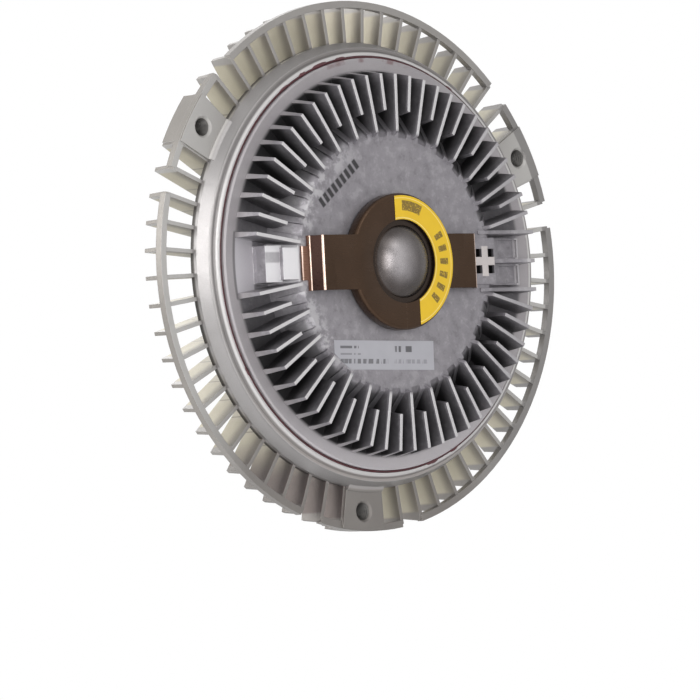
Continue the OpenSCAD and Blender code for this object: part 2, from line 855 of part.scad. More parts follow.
module valve_lever() {
    color([0.50, 0.52, 0.56]) facing() difference() {
        union() {
            translate([-hinge_x, 0, z_hinge]) rotate([90, 0, 0])
                cylinder(r = eye_r, h = lever_w, center = true);
            translate([-hinge_x, -lever_w / 2, z_lever]) cube([hinge_x + port_x, lever_w, lever_t]);
            translate([port_x, 0, z_lever]) cylinder(r = lever_pad_r, h = lever_t);
        }
        translate([-hinge_x, 0, z_hinge]) rotate([90, 0, 0])
            cylinder(r = hinge_r + fit_slack, h = lever_w + 2 * lap, center = true);
    }
}

module wiper_block() {
    color([0.20, 0.20, 0.21]) on_cover() rotate([0, 0, return_angle + wiper_lead])
        rotate_extrude(angle = wiper_span)
            translate([plate_r - wiper_w, z_rotor_top + run_gap])
                square([wiper_w, z_plate - z_rotor_top - run_gap]);
}

module input_shaft() {
    color([0.52, 0.52, 0.53]) facing() difference() {
        union() {
            intersection() {
                cylinder(d = hub_d, h = hub_t);
                translate([-hub_flats / 2, -hub_d, 0]) cube([hub_flats, 2 * hub_d, hub_t]);
            }
            cylinder(d = neck_d, h = z_bearing);
            cylinder(r = bearing_ir, h = z_bearing_top);
            cylinder(d = rotor_seat_d, h = z_nut);
            cylinder(d = nut_thread_d, h = z_shaft_end);
        }
        translate([0, 0, -lap]) cylinder(d = pilot_d, h = pilot_depth + lap);
        cylinder(d = thread_d, h = pilot_depth + thread_l);
    }
}

module rotor() {
    color([0.72, 0.72, 0.72]) facing() {
        difference() {
            rotate_extrude() {
                translate([rotor_seat_d / 2, z_bearing_top])
                    square([rotor_hub_r - rotor_seat_d / 2, z_rotor_top - nut_recess - z_bearing_top]);
                translate([rotor_hub_r - lap, z_floor])
                    square([rotor_boss_r - rotor_hub_r + lap, z_rotor_top - nut_recess - z_floor]);
                difference() {
                    translate([rotor_seat_d / 2, z_rotor]) square([rotor_r - rotor_seat_d / 2, rotor_t]);
                    translate([0, z_nut]) square([rotor_boss_r, nut_recess + lap]);
                }
                for (i = [0 : land_n - 1])
                    translate([land_in + i * land_pitch, z_rotor - land_h])
                        square([land_t, land_h + lap / 2]);
            }
            for (i = [0 : oil_hole_n - 1])
                rotate([0, 0, i * 360 / oil_hole_n]) translate([oil_hole_place, 0, z_rotor - lap])
                    cylinder(r = oil_hole_r, h = rotor_t + 2 * lap);
        }
    }
}

module rotor_nut() {
    color([0.58, 0.58, 0.58]) facing() translate([0, 0, z_nut]) difference() {
        cylinder(d = nut_flats / cos(30), h = nut_h, $fn = 6);
        translate([0, 0, -lap]) cylinder(d = nut_thread_d, h = nut_h + 2 * lap);
    }
}

// The ball groove's section, cut from either race
module ball_groove() {
    translate([pitch_r, z_ball]) circle(r = groove_r);
}

module bearing_inner_race() {
    color([0.74, 0.74, 0.76]) facing() rotate_extrude() difference() {
        translate([bearing_ir, z_bearing]) square([pitch_r - race_gap - bearing_ir, bearing_w]);
        ball_groove();
    }
}

module bearing_outer_race() {
    color([0.74, 0.74, 0.76]) facing() rotate_extrude() difference() {
        translate([pitch_r + race_gap, z_bearing]) square([bearing_or - pitch_r - race_gap, bearing_w]);
        ball_groove();
    }
}

// Ball places round the bearing
module at_balls() {
    for (i = [0 : ball_n - 1])
        rotate([0, 0, i * 360 / ball_n]) translate([pitch_r, 0, z_ball]) children();
}

module bearing_balls() {
    color([0.80, 0.80, 0.82]) facing() at_balls() sphere(r = ball_r, $fn = ball_facets);
}

module bearing_cage() {
    cage_w = race_gap - 2 * free_gap;
    cage_h = ball_d + 2 * cage_web;
    color([0.70, 0.60, 0.36]) facing() difference() {
        ring(pitch_r - cage_w, pitch_r + cage_w, z_ball - cage_h / 2, z_ball + cage_h / 2);
        at_balls() rotate([0, 90, 0]) cylinder(r = ball_r + fit_slack, h = ball_d, center = true);
    }
}

// A bearing seal at a height, held by the outer race
module bearing_seal(z_low) {
    ring(pitch_r - race_gap + free_gap, pitch_r + race_gap, z_low, z_low + bearing_seal_t);
}

module bearing_front_seal() {
    color([0.12, 0.12, 0.12]) facing() bearing_seal(z_bearing_top - free_gap - bearing_seal_t);
}

module bearing_rear_seal() {
    color([0.12, 0.12, 0.12]) facing() bearing_seal(z_bearing + free_gap);
}

module bearing_clip() {
    clip_gap = 40;
    clip_w = 3;
    eye_lead = 5;
    eye_place = clip_gap / 2 + eye_lead;
    eye_out = 2.2;
    clip_in = bearing_or + clip_seat - clip_w;
    color([0.35, 0.36, 0.38]) facing() translate([0, 0, z_clip]) difference() {
        union() {
            rotate([0, 0, 90 + clip_gap / 2]) rotate_extrude(angle = 360 - clip_gap)
                translate([clip_in, 0]) square([clip_w, clip_t]);
            for (side = [-1, 1])
                rotate([0, 0, 90 + side * eye_place])
                    translate([clip_in, 0, 0]) cylinder(r = eye_out, h = clip_t);
        }
        for (side = [-1, 1])
            rotate([0, 0, 90 + side * eye_place])
                translate([clip_in, 0, -lap]) cylinder(r = eye_out / 2, h = clip_t + 2 * lap);
    }
}

rear_housing();
front_cover();
rim_sealant();
bimetal_strip();
domed_cap();
control_pin();
round_label();
plain_label();
guide_bush();
pin_seal();
partition_plate();
partition_rivets();
valve_hinge_pin();
valve_lever();
wiper_block();
input_shaft();
rotor();
rotor_nut();
bearing_inner_race();
bearing_outer_race();
bearing_balls();
bearing_cage();
bearing_front_seal();
bearing_rear_seal();
bearing_clip();
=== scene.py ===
import math

import bpy
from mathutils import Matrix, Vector


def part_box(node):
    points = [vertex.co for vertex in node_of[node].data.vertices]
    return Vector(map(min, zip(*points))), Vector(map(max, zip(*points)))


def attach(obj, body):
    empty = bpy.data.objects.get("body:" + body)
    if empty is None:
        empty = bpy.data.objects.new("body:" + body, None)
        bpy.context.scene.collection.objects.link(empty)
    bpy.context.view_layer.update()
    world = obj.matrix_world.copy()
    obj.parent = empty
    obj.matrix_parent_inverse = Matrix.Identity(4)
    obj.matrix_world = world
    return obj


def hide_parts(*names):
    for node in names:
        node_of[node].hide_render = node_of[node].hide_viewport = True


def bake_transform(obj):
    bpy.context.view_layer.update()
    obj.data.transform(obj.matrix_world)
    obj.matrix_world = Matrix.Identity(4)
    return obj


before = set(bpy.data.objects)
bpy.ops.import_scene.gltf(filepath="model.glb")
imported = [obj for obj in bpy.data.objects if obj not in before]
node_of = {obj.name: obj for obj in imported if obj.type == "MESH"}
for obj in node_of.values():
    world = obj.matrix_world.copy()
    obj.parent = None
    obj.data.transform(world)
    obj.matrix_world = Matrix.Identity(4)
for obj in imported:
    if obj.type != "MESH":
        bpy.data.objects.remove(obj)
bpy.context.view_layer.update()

# Lengths are in metres. The angles of camera, lamps, lugs and lumps are in degrees.

# Camera, low and to the left of the finned front, with a long lens
VIEW_AZIMUTH, VIEW_ELEVATION = -42.2, -4.6
VIEW_DISTANCE = 2.7
VIEW_AIM = (-0.00486, -0.0326)
LENS_PER_METRE = 133.3
SENSOR_WIDTH = 36

# Lamps: azimuth, elevation, distance, width, height and power
LAMPS = {
    "left_lamp": (-84, 8, 1.3, 0.45, 1.0, 8.5),
    "front_lamp": (-23, 3, 1.3, 0.36, 0.9, 6.7),
    "low_lamp": (-30, -35, 1.2, 0.7, 0.5, 1.7),
    "high_lamp": (-10, 42, 1.3, 0.7, 0.5, 2.5),
    "side_lamp": (-126, 14, 1.2, 0.8, 0.8, 6.0),
    "back_lamp": (163, 24, 1.5, 1.0, 1.0, 5.0),
}
SURROUNDING_LIGHT = 0.35
FLOOR_SIZE = 12
FLOOR_HEIGHT = -0.6
FLOOR_PALENESS = 0.4

# Heights in front of the rear face, where the finishes change
RING_FRONT = 0.046
LIP_FOOT = 0.0536
CHANNEL_FLOOR = 0.0580
GAP_FLOOR = 0.0590
MIDDLE_FACE = 0.0638
SEAT_FACE = 0.06395
FIN_TOP = 0.0658

# Distances from the axis, where the finishes change
CAP_FLANGE = 0.01355
FIN_START, FIN_END = 0.0508, 0.0743
FLANGE_START = 0.0735
GUTTER_END = 0.0755
LIP_EDGE, CREASE_END = 0.0820, 0.0827
RIM_WALL = (0.0836, 0.0865)
RIM_FOOT, RIM_FOOT_HEIGHTS = (0.0850, 0.0872), (0.0368, 0.0458)
BODY_RADIUS = 0.0867
OUTSIDE_START = 0.09725
HOOP_START, HOOP_INSIDE = 0.0982, 0.0986

# The line of strip, seats and channels, which is turned a little against the horizontal
COVER_TURN = math.radians(4.1)
ALONG = Vector((math.cos(COVER_TURN), 0, math.sin(COVER_TURN)))

# Places along that line, where the finishes change, and half widths across it
STRIP_FOLD = 0.0368
LEFT_TAB = -0.0445
LEFT_CHANNEL = -0.04385
CHANNEL_SLOPE = math.tan(math.radians(9))
LEFT_PAD, LEFT_PAD_HALF = (-0.0655, -0.0490), 0.0072
PAD_STEP = -0.05775
LEFT_FLOOR = -0.0653
GUTTER_START, GUTTER_HALF = -0.061, 0.0130
RIGHT_CHANNEL, RIGHT_CHANNEL_HALF = 0.0420, 0.0105
POCKETS, POCKETS_HALF = (0.0420, 0.0530), 0.00625
CROSS_UPRIGHT, CROSS_UPRIGHT_HALF = (0.0457, 0.0490), 0.00585
CROSS_LEVEL, CROSS_LEVEL_HALF = (0.0422, 0.0524), 0.00175
TRAY_END, TRAY_END_HALF = (0.0690, 0.0706), 0.00925

# The row of ink strokes: its angle, its start, its length, half its height, and the strokes to the metre
INK_TURN = math.radians(42.9)
INK_START = (-0.0384, 0.0196)
INK_LENGTH, INK_HALF = 0.0260, 0.0020
INK_PITCH = 345.0

# The round label: border lines, bars and panel by distance from the axis, and angles in radians
LABEL_LINE_IN, LABEL_LINE_OUT = (0.0166, 0.0170), (0.0243, 0.0246)
BARS, BAR_ANGLES = (0.0188, 0.0229), (-0.80, 0.66)
PANEL, PANEL_ANGLES = (0.0196, 0.0235), (1.10, 1.56)

# The plain label: its angle, its upper left corner, and its rows of dashes,
# each with start and end, lower and upper edge, and share of ink
PLAIN_LABEL_TURN = COVER_TURN - math.radians(1.3)
PLAIN_LABEL_CORNER = (-0.0313, -0.0317)
DASH_ROWS = (
    (0.003, 0.0125, -0.0031, -0.0021, 0.75),
    (0.003, 0.0145, -0.0056, -0.0049, 0.45),
    (0.003, 0.0275, -0.0089, -0.0071, 0.70),
    (0.0300, 0.0400, -0.0044, -0.0021, 0.85),
    (0.0300, 0.0480, -0.0088, -0.0072, 0.35),
)

# The strip's arms: cut lines across them lie between these places along the line, and their edges are broken a
# little
BOW_FROM = 0.0395
BOW_TO = 0.0265
BOW_CUTS = 8
STRIP_EDGE = 0.00012
MERGE = 0.000001
SHARP_ANGLE = math.radians(40)
SMOOTH_ANGLE = math.radians(30)

# Threads: circle and angles of the lugs, radii of the bores,
# and the ridges' depth as a share of the pitch and the thickness of their wall
LUG_CIRCLE = 0.095
LUG_ANGLES = (30, 150, 270)
LUG_BORE = 0.0034
CENTRE_BORE = 0.00425
THREAD_SIDES = 40
RIDGE_DEPTH = 0.45
RIDGE_WALL = 0.00025

# Sealant lumps: circle of the joint, half height, lift and unevenness,
# and each lump's angle, half its length along the joint, and half its width
SEAL_RADIUS = 0.0803
LUMP_RISE = 0.0005
LUMP_LIFT = 0.0001
LUMP_UNEVENNESS = 0.00012
LUMPS = (
    (104, 0.0030, 0.0007),
    (112, 0.0042, 0.0009),
    (119, 0.0022, 0.0008),
    (127, 0.0028, 0.0006),
    (62, 0.0020, 0.0006),
    (291, 0.0034, 0.0008),
    (300, 0.0024, 0.0007),
    (214, 0.0022, 0.0006),
)

# Shades, as linear red, green and blue, or pairs of them that a cloud pattern goes between
COVER_GREY = ((0.215, 0.203, 0.220), (0.285, 0.270, 0.288))
COVER_SPOT = (0.35, 0.335, 0.35)
COVER_PALE = (0.36, 0.345, 0.362)
COVER_DARK = (0.165, 0.153, 0.166)
COVER_RUBBED = (0.52, 0.505, 0.52)
FLANGE_GREY = ((0.29, 0.270, 0.280), (0.39, 0.368, 0.378))
# Painted light on the lower side of the flange
FLANGE_PAINTED_LIGHT = (0.47, 0.445, 0.46)
# Rubbed bare fin tops, paler still with painted light
FIN_RUBBED_AND_LIT = (0.56, 0.545, 0.55)
# Painted highlight for the left pad, painted light for the channel floor, and painted shade for the gutter
PAD_HIGHLIGHT = (0.74, 0.725, 0.74)
CHANNEL_LIT_GREY = ((0.43, 0.41, 0.435), (0.52, 0.50, 0.525))
GUTTER_SHADE = (0.05, 0.046, 0.05)
# Painted highlights for the cross top and for the tray's far wall
CROSS_HIGHLIGHT = (0.58, 0.535, 0.52)
TRAY_END_HIGHLIGHT = (0.6, 0.58, 0.59)
SMEAR_RED = (0.13, 0.035, 0.04)
# Near-black for the painted shade in the fin gaps and pockets, and for the ink strokes
SHADE_AND_INK_BLACK = (0.016, 0.015, 0.016)

BODY_GREY = ((0.21, 0.198, 0.195), (0.29, 0.275, 0.27))
# Painted light towards the bottom of the body, painted shade towards its top
BODY_LOWER_LIGHT = (0.36, 0.328, 0.312)
BODY_UPPER_SHADE = (0.155, 0.143, 0.135)
RING_GREY = ((0.25, 0.235, 0.222), (0.33, 0.315, 0.30))
# Painted shade below, painted light at the right and the left, and painted shade on the outsides and the right hoop
RING_LOWER_SHADE = ((0.17, 0.155, 0.145), (0.23, 0.215, 0.20))
RING_RIGHT_LIGHT = (0.58, 0.57, 0.55)
RING_LEFT_LIGHT = (0.58, 0.57, 0.555)
RING_OUTSIDE_SHADE = ((0.22, 0.205, 0.19), (0.29, 0.272, 0.25))
HOOP_SHADE = (0.20, 0.190, 0.185)
BLADE_KHAKI = ((0.40, 0.365, 0.275), (0.52, 0.48, 0.38))
BLADE_BROWN = (0.19, 0.172, 0.152)
# Painted shade on the blades above and below, and at the lower left
BLADE_UPPER_LOWER_SHADE = (0.15, 0.133, 0.112)
BLADE_LOWER_LEFT_SHADE = (0.095, 0.074, 0.072)
# Painted shade at the rim's foot, bare metal with a painted highlight on the lip, and painted shade in the crease
RIM_FOOT_SHADE = (0.035, 0.031, 0.027)
LIP_METAL_AND_HIGHLIGHT = (0.52, 0.505, 0.50)
CREASE_SHADE = (0.10, 0.092, 0.09)
WALL_GREY = (0.32, 0.308, 0.305)

STRIP_BROWN = ((0.040, 0.022, 0.012), (0.062, 0.034, 0.019))
# Painted dark reflection on the slopes of the folded ends
STRIP_SLOPE_DARK_REFLECTION = (0.030, 0.012, 0.008)
STRIP_TAB = ((0.14, 0.065, 0.042), (0.22, 0.115, 0.08))
# Painted copper highlight along the folds
FOLD_COPPER_HIGHLIGHT = (0.78, 0.58, 0.48)
# Satin with a painted highlight, painted shade towards the edge, right and lower side, and painted shade on the
# flange
CAP_SATIN_HIGHLIGHT = ((0.33, 0.308, 0.315), (0.46, 0.433, 0.440))
CAP_DARK_SHADE = ((0.045, 0.038, 0.036), (0.080, 0.069, 0.066))
CAP_FLANGE_SHADE = (0.034, 0.024, 0.019)
FILM_YELLOW = ((0.70, 0.44, 0.012), (0.80, 0.53, 0.020))
FILM_BORDER = (0.90, 0.72, 0.25)
FILM_BAR = (0.09, 0.055, 0.012)
FILM_SILVER = ((0.36, 0.355, 0.385), (0.43, 0.425, 0.455))
FILM_DASH = (0.06, 0.058, 0.062)
FLOOR_PAINT = ((0.89, 0.89, 0.89), (0.91, 0.91, 0.91))


def direction(azimuth, elevation):
    """The way from the part to a place round it: 0 degrees is the front, and left is negative."""
    turn, rise = math.radians(azimuth), math.radians(elevation)
    return Vector((math.sin(turn) * math.cos(rise), -math.cos(turn) * math.cos(rise), math.sin(rise)))


def camera_at(azimuth, elevation, distance, aim):
    """A camera that looks at the middle of the fan ring, with its aim moved to the right and up."""
    back = direction(azimuth, elevation)
    facing = (-back).to_track_quat("-Z", "Y")
    right, up = facing @ Vector((1, 0, 0)), facing @ Vector((0, 1, 0))
    target = Vector((0, -RING_FRONT, 0)) + right * aim[0] + up * aim[1]
    lens = bpy.data.cameras.new("camera")
    lens.sensor_width = SENSOR_WIDTH
    lens.lens = LENS_PER_METRE * distance
    lens.clip_end = 50
    camera = bpy.data.objects.new("camera", lens)
    camera.location = target + back * distance
    camera.rotation_euler = facing.to_euler()
    bpy.context.scene.collection.objects.link(camera)
    bpy.context.scene.camera = camera


camera_at(VIEW_AZIMUTH, VIEW_ELEVATION, VIEW_DISTANCE, VIEW_AIM)


# Node helpers
def put(tree, kind, inputs=None, **settings):
    """Adds a shader node, sets its options, and fills or links its inputs."""
    made = tree.nodes.new("ShaderNode" + kind)
    for key, value in settings.items():
        setattr(made, key, value)
    for key, value in (inputs or {}).items():
        if isinstance(value, bpy.types.NodeSocket):
            tree.links.new(value, made.inputs[key])
        else:
            made.inputs[key].default_value = value
    return made


def start_finish(name):
    material = bpy.data.materials.new(name)
    material.use_nodes = True
    return material, material.node_tree, material.node_tree.nodes["Principled BSDF"]


def sums(tree, operation, first, second=0.0, third=0.0):
    return put(tree, "Math", {0: first, 1: second, 2: third}, operation=operation).outputs["Value"]


def product(tree, *shares):
    """Several shares multiplied together."""
    made = shares[0]
    for share in shares[1:]:
        made = sums(tree, "MULTIPLY", made, share)
    return made


def either(tree, first, second):
    return sums(tree, "MAXIMUM", first, second)


def rest_of(tree, share):
    return sums(tree, "SUBTRACT", 1.0, share)


def size_of(tree, value):
    return sums(tree, "ABSOLUTE", value)


def place_on(tree):
    """The place on the object."""
    return put(tree, "TexCoord").outputs["Object"]


def sideways(tree, place):
    """The place without its height."""
    return put(tree, "VectorMath", {0: place, 1: (1, 0, 1)}, operation="MULTIPLY").outputs["Vector"]


def from_axis(tree, place):
    """The distance from the axis."""
    return put(tree, "VectorMath", {0: sideways(tree, place)}, operation="LENGTH").outputs["Value"]


def forward(tree, vector):
    """How far a place or a normal goes to the front."""
    return put(tree, "VectorMath", {0: vector, 1: (0, -1, 0)}, operation="DOT_PRODUCT").outputs["Value"]


def facing_of(tree):
    """The way that a surface faces."""
    return put(tree, "TexCoord").outputs["Normal"]


def faces_outward(tree, place):
    """How far a surface faces away from the axis."""
    away = put(tree, "VectorMath", {0: sideways(tree, place)}, operation="NORMALIZE").outputs["Vector"]
    return put(tree, "VectorMath", {0: facing_of(tree), 1: away}, operation="DOT_PRODUCT").outputs["Value"]


def turned_places(tree, place, turn, start=(0.0, 0.0)):
    """The place along a line on the front, turned by an angle from a starting point, and to the side of it."""
    shift = (-start[0] * math.cos(turn) - start[1] * math.sin(turn), 0,
             start[0] * math.sin(turn) - start[1] * math.cos(turn))
    turned = put(tree, "Mapping", {"Vector": place, "Rotation": (0, turn, 0), "Location": shift}).outputs["Vector"]
    parts = put(tree, "SeparateXYZ", {"Vector": turned}).outputs
    return parts["X"], parts["Z"]


def grade(tree, value, low, high, from_share=0.0, to_share=1.0):
    """A smooth change from one share to another as a value goes from low to high."""
    made = put(tree, "MapRange", {"Value": value, "From Min": low, "From Max": high,
                                  "To Min": from_share, "To Max": to_share}, interpolation_type="SMOOTHSTEP")
    return made.outputs["Result"]


def above(tree, value, level, soft):
    """One above a level, nothing below it."""
    return grade(tree, value, level - soft, level + soft)


def below(tree, value, level, soft):
    """One below a level, nothing above it."""
    return grade(tree, value, level + soft, level - soft)


def band(tree, value, low, high, soft=0.0001):
    """One between low and high, nothing outside."""
    return product(tree, above(tree, value, low, soft), below(tree, value, high, soft))


def grain(tree, place, scale, detail=2.0, rough=0.5, stretch=None):
    """Noise at a number of grains to the metre, stretched along the axes if asked."""
    if stretch:
        place = put(tree, "Mapping", {"Vector": place, "Scale": stretch}).outputs["Vector"]
    return put(tree, "TexNoise", {"Vector": place, "Scale": scale, "Detail": detail,
                                  "Roughness": rough}).outputs["Fac"]


def blend_colour(tree, share, first, second):
    made = put(tree, "Mix", data_type="RGBA")
    for socket, value in ((made.inputs["Factor"], share), (made.inputs[6], first), (made.inputs[7], second)):
        if isinstance(value, bpy.types.NodeSocket):
            tree.links.new(value, socket)
        elif socket.type == "RGBA":
            socket.default_value = (*value, 1.0)
        else:
            socket.default_value = value
    return made.outputs[2]


def clouded(tree, cloud, shades):
    """A colour that drifts between two shades."""
    return blend_colour(tree, cloud, *shades)


def layered(tree, colour, *coats):
    """A colour with coats laid over it, each by its share."""
    for share, coat in coats:
        colour = blend_colour(tree, share, colour, coat)
    return colour


def roughened(tree, pattern, low, high):
    """A roughness that follows a noise pattern."""
    return grade(tree, pattern, 0.3, 0.7, low, high)


def rounded_bump(tree, shader, height, strength, depth, edge):
    """Softens sharp edges and raises the surface by a height pattern."""
    soft = put(tree, "Bevel", {"Radius": edge}, samples=6).outputs["Normal"]
    made = put(tree, "Bump", {"Height": height, "Strength": strength, "Distance": depth, "Normal": soft})
    tree.links.new(made.outputs["Normal"], shader.inputs["Normal"])


def link_to(tree, shader, **sockets):
    for name, value in sockets.items():
        key = name.replace("_", " ")
        if isinstance(value, bpy.types.NodeSocket):
            tree.links.new(value, shader.inputs[key])
        elif isinstance(value, tuple):
            shader.inputs[key].default_value = (*value, 1.0)
        else:
            shader.inputs[key].default_value = value


def dress(piece, material):
    piece.data.materials.clear()
    piece.data.materials.append(material)


# Stage: pale floor, white surroundings and soft lamps
def lamp_at(name, azimuth, elevation, distance, width, tall, power):
    """A soft rectangular lamp that looks at the part."""
    toward = direction(azimuth, elevation)
    lamp = bpy.data.lights.new(name, "AREA")
    lamp.shape = "RECTANGLE"
    lamp.size = width
    lamp.size_y = tall
    lamp.energy = power
    holder = bpy.data.objects.new(name, lamp)
    holder.location = Vector((0, -RING_FRONT, 0)) + toward * distance
    holder.rotation_euler = toward.to_track_quat("Z", "Y").to_euler()
    bpy.context.scene.collection.objects.link(holder)


def seen_rays(tree):
    """One for what the camera sees, straight or in a reflection, and nothing for light that falls on the part."""
    rays = put(tree, "LightPath").outputs
    mirrored = either(tree, rays["Is Glossy Ray"], rays["Is Transmission Ray"])
    return either(tree, rays["Is Camera Ray"], mirrored)


def white_surroundings():
    world = bpy.data.worlds.new("studio")
    world.use_nodes = True
    bpy.context.scene.world = world
    tree = world.node_tree
    light = tree.nodes["Background"]
    light.inputs["Color"].default_value = (0.97, 0.98, 1.0, 1.0)
    light.inputs["Strength"].default_value = SURROUNDING_LIGHT
    white = put(tree, "Background", {"Color": (1, 1, 1, 1), "Strength": 1.0})
    both = put(tree, "MixShader", {0: seen_rays(tree), 1: light.outputs[0], 2: white.outputs[0]})
    tree.links.new(both.outputs[0], tree.nodes["World Output"].inputs["Surface"])


def pale_floor():
    bpy.ops.object.select_all(action="DESELECT")
    bpy.ops.mesh.primitive_plane_add(size=FLOOR_SIZE, location=(0, 0, FLOOR_HEIGHT))
    floor = bpy.context.object
    floor.name = "floor"
    paint, tree, shader = start_finish("pale_floor")
    speck = grain(tree, place_on(tree), 40, 2)
    link_to(tree, shader, Base_Color=clouded(tree, speck, FLOOR_PAINT), Roughness=0.7,
            Emission_Color=(1.0, 1.0, 1.0), Emission_Strength=product(tree, seen_rays(tree), FLOOR_PALENESS))
    dress(floor, paint)


white_surroundings()
pale_floor()
for lamp_name, lamp_settings in LAMPS.items():
    lamp_at(lamp_name, *lamp_settings)
bpy.context.scene.view_settings.view_transform = "Standard"


# Finish of the cover
def cover_skin(tree, place, radius, along, across, cloud):
    """Blasted skin: spotted and mottled, rubbed beside the left fins, and paler on the flange, with painted light
    that makes the flange paler still towards its lower side.
    """
    spots = grain(tree, place, 420, 2)
    mottle = grain(tree, place, 230, 4, 0.65)
    rubbed = product(tree, band(tree, radius, 0.0440, 0.0510, 0.0030),
                     grade(tree, mottle, 0.46, 0.58, 0.0, 0.6), grade(tree, along, -0.010, -0.035))
    middle = layered(
        tree, clouded(tree, cloud, COVER_GREY),
        (grade(tree, spots, 0.60, 0.72, 0.0, 0.5), COVER_SPOT),
        (grade(tree, mottle, 0.50, 0.68, 0.0, 0.55), COVER_PALE),
        (grade(tree, mottle, 0.48, 0.32, 0.0, 0.55), COVER_DARK),
        (rubbed, COVER_RUBBED))
    # Painted light: the flange grows paler towards its lower side
    flange = blend_colour(tree, grade(tree, across, -0.045, -0.070, 0.0, 0.7),
                          clouded(tree, cloud, FLANGE_GREY), FLANGE_PAINTED_LIGHT)
    return blend_colour(tree, above(tree, radius, FLANGE_START, 0.0007), middle, flange)


def cover_channels(tree, along, side):
    """The two open channels that hold the strip's ends, the left one with slanting sides."""
    slant = sums(tree, "MULTIPLY_ADD", along, CHANNEL_SLOPE, side)
    left = product(tree, below(tree, slant, -0.0010, 0.0004), below(tree, along, LEFT_CHANNEL, 0.00035))
    right = product(tree, below(tree, side, RIGHT_CHANNEL_HALF, 0.0002), above(tree, along, RIGHT_CHANNEL, 0.0002))
    return left, right


def left_seat(tree, left, facing, radius, height, along, across, side):
    """The pad under the strip's left end with a painted highlight and a painted shade band, the channel's floor
    beyond it painted paler as painted light, and painted shade in the gutter at the flange.
    """
    # A painted shade band across the pad, which dims its painted highlight
    shade = product(tree, below(tree, along, PAD_STEP, 0.00025), band(tree, across, 0.0005, 0.0045, 0.0006))
    # Painted highlight on the pad's front faces
    pad_glare = product(tree, left, band(tree, along, *LEFT_PAD, 0.0003), below(tree, side, LEFT_PAD_HALF, 0.0002),
                  facing, grade(tree, shade, 0.0, 1.0, 1.0, 0.35))
    # Painted light: a paler tone on the channel floor beyond the pad
    floor = product(tree, left, below(tree, along, LEFT_FLOOR, 0.0003), below(tree, height, CHANNEL_FLOOR, 0.0005),
                    below(tree, radius, 0.0745, 0.0003))
    # Painted shade in the gutter along the flange
    gutter = product(tree, below(tree, along, GUTTER_START, 0.001), band(tree, radius, FIN_END, GUTTER_END, 0.0003),
                     below(tree, side, GUTTER_HALF, 0.0005))
    return pad_glare, floor, gutter


def right_seat(tree, right, facing, height, along, side, cloud):
    """The cross between the pockets at the strip's right end with a painted highlight, painted shade in the
    pockets, and a painted highlight on the tray's far wall.
    """
    upright = product(tree, band(tree, along, *CROSS_UPRIGHT), below(tree, side, CROSS_UPRIGHT_HALF, 0.00015))
    level = product(tree, band(tree, along, *CROSS_LEVEL), below(tree, side, CROSS_LEVEL_HALF, 0.00015))
    # Painted highlight on the top of the cross
    cross_glare = product(tree, either(tree, upright, level), right, facing, above(tree, height, SEAT_FACE, 0.00015),
                    grade(tree, cloud, 0.35, 0.6, 0.75, 1.0))
    # Painted shade in the pockets, below the middle face
    pocket_shade = product(tree, band(tree, along, *POCKETS), below(tree, side, POCKETS_HALF, 0.00015),
                      below(tree, height, MIDDLE_FACE - 0.0002, 0.0006))
    # Painted highlight on the tray's far wall
    tray_end_glare = product(tree, band(tree, along, *TRAY_END), right, below(tree, side, TRAY_END_HALF, 0.00015))
    return cross_glare, pocket_shade, tray_end_glare


def ink_strokes(tree, place):
    """A row of short ink strokes on the plain middle."""
    row, off_row = turned_places(tree, place, INK_TURN, INK_START)
    beat = sums(tree, "FRACT", sums(tree, "MULTIPLY", row, INK_PITCH))
    smudge = grade(tree, grain(tree, place, 900, 2), 0.12, 0.32)
    return product(tree, band(tree, row, 0.0, INK_LENGTH), band(tree, off_row, -INK_HALF, INK_HALF, 0.0003),
                   band(tree, beat, 0.18, 0.82, 0.1), smudge)


